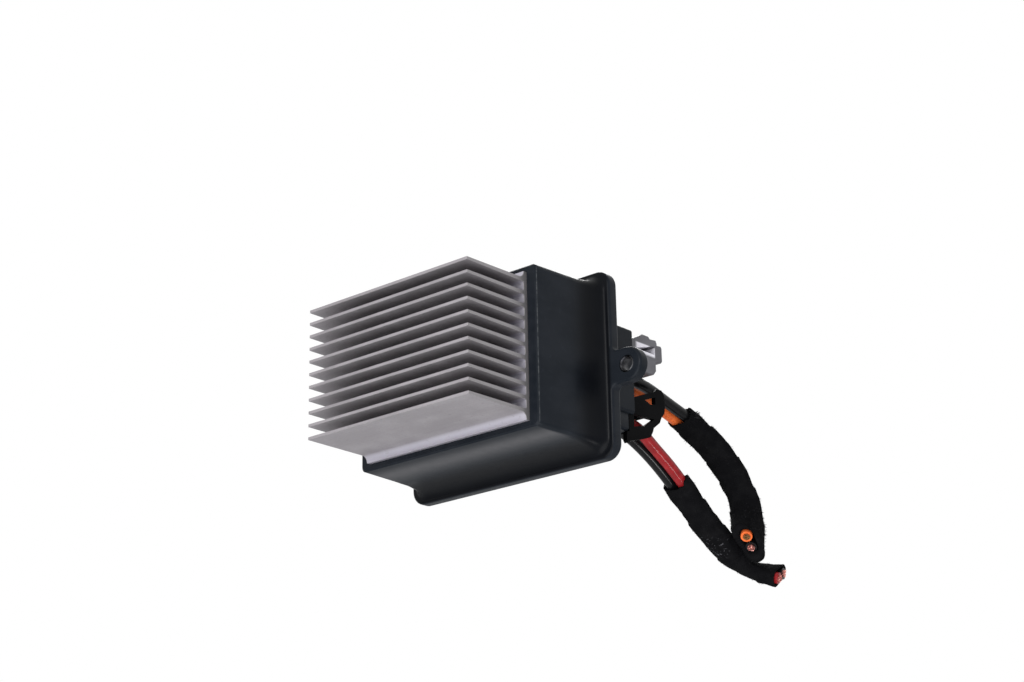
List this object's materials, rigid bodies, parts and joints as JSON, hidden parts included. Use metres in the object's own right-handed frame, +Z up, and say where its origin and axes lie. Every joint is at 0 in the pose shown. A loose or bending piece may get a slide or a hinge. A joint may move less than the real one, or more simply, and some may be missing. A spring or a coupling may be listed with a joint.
{
  "type": "blower motor resistor",
  "caption": "Finned aluminium heatsink in a dark moulded housing with screw ears, a rear connector body, plugs and taped pairs of cut wires, for a heater fan.",
  "frame": {"origin": "midway between the two ear holes, on the front face of the flange that seats on the duct", "axes": "+Z up, fins along -Y into the duct, plugs and wires leave along +Y, ears and fins run along X"},
  "size_m": [0.1114, 0.1585, 0.0897],
  "materials": {
    "heatsink": "extruded, dull",
    "housing": "fine texture, satin",
    "steel": "plated",
    "board": "solder mask",
    "package": "moulded",
    "pad": "soft",
    "can": "sleeved can",
    "shunt": "copper alloy",
    "contact": "tin plated",
    "black_plug": "satin",
    "grey_plug": "milky grey",
    "orange_cable": "satin insulation",
    "red_cable": "satin insulation",
    "black_cable": "satin insulation",
    "copper": "stranded copper",
    "tape": "woven cloth"
  },
  "bodies": {
    "root": {"capacitor": "can", "circuit_board": "board", "clip_screw": "steel", "control_chip": "package", "control_pin_1": "contact", "control_pin_2": "contact", "control_pin_3": "contact", "control_pin_4": "contact", "control_plug": "grey_plug", "ear_bush_far": "steel", "ear_bush_near": "steel", "heatsink": "heatsink", "heatsink_screw_bottom": "steel", "heatsink_screw_top": "steel", "housing": "housing", "lower_black_core": "copper", "lower_black_wire": "black_cable", "lower_tape": "tape", "orange_core": "copper", "orange_wire": "orange_cable", "power_blade_1": "contact", "power_blade_2": "contact", "power_blade_3": "contact", "power_blade_4": "contact", "power_plug": "black_plug", "power_terminal_1": "contact", "power_terminal_2": "contact", "power_terminal_3": "contact", "power_terminal_4": "contact", "red_core": "copper", "red_wire": "red_cable", "shunt": "shunt", "thermal_pad_far": "pad", "thermal_pad_near": "pad", "transistor_clip": "steel", "transistor_far": "package", "transistor_near": "package", "upper_black_core": "copper", "upper_black_wire": "black_cable", "upper_tape": "tape", "wire_guide": "black_plug"}
  },
  "joints": []
}
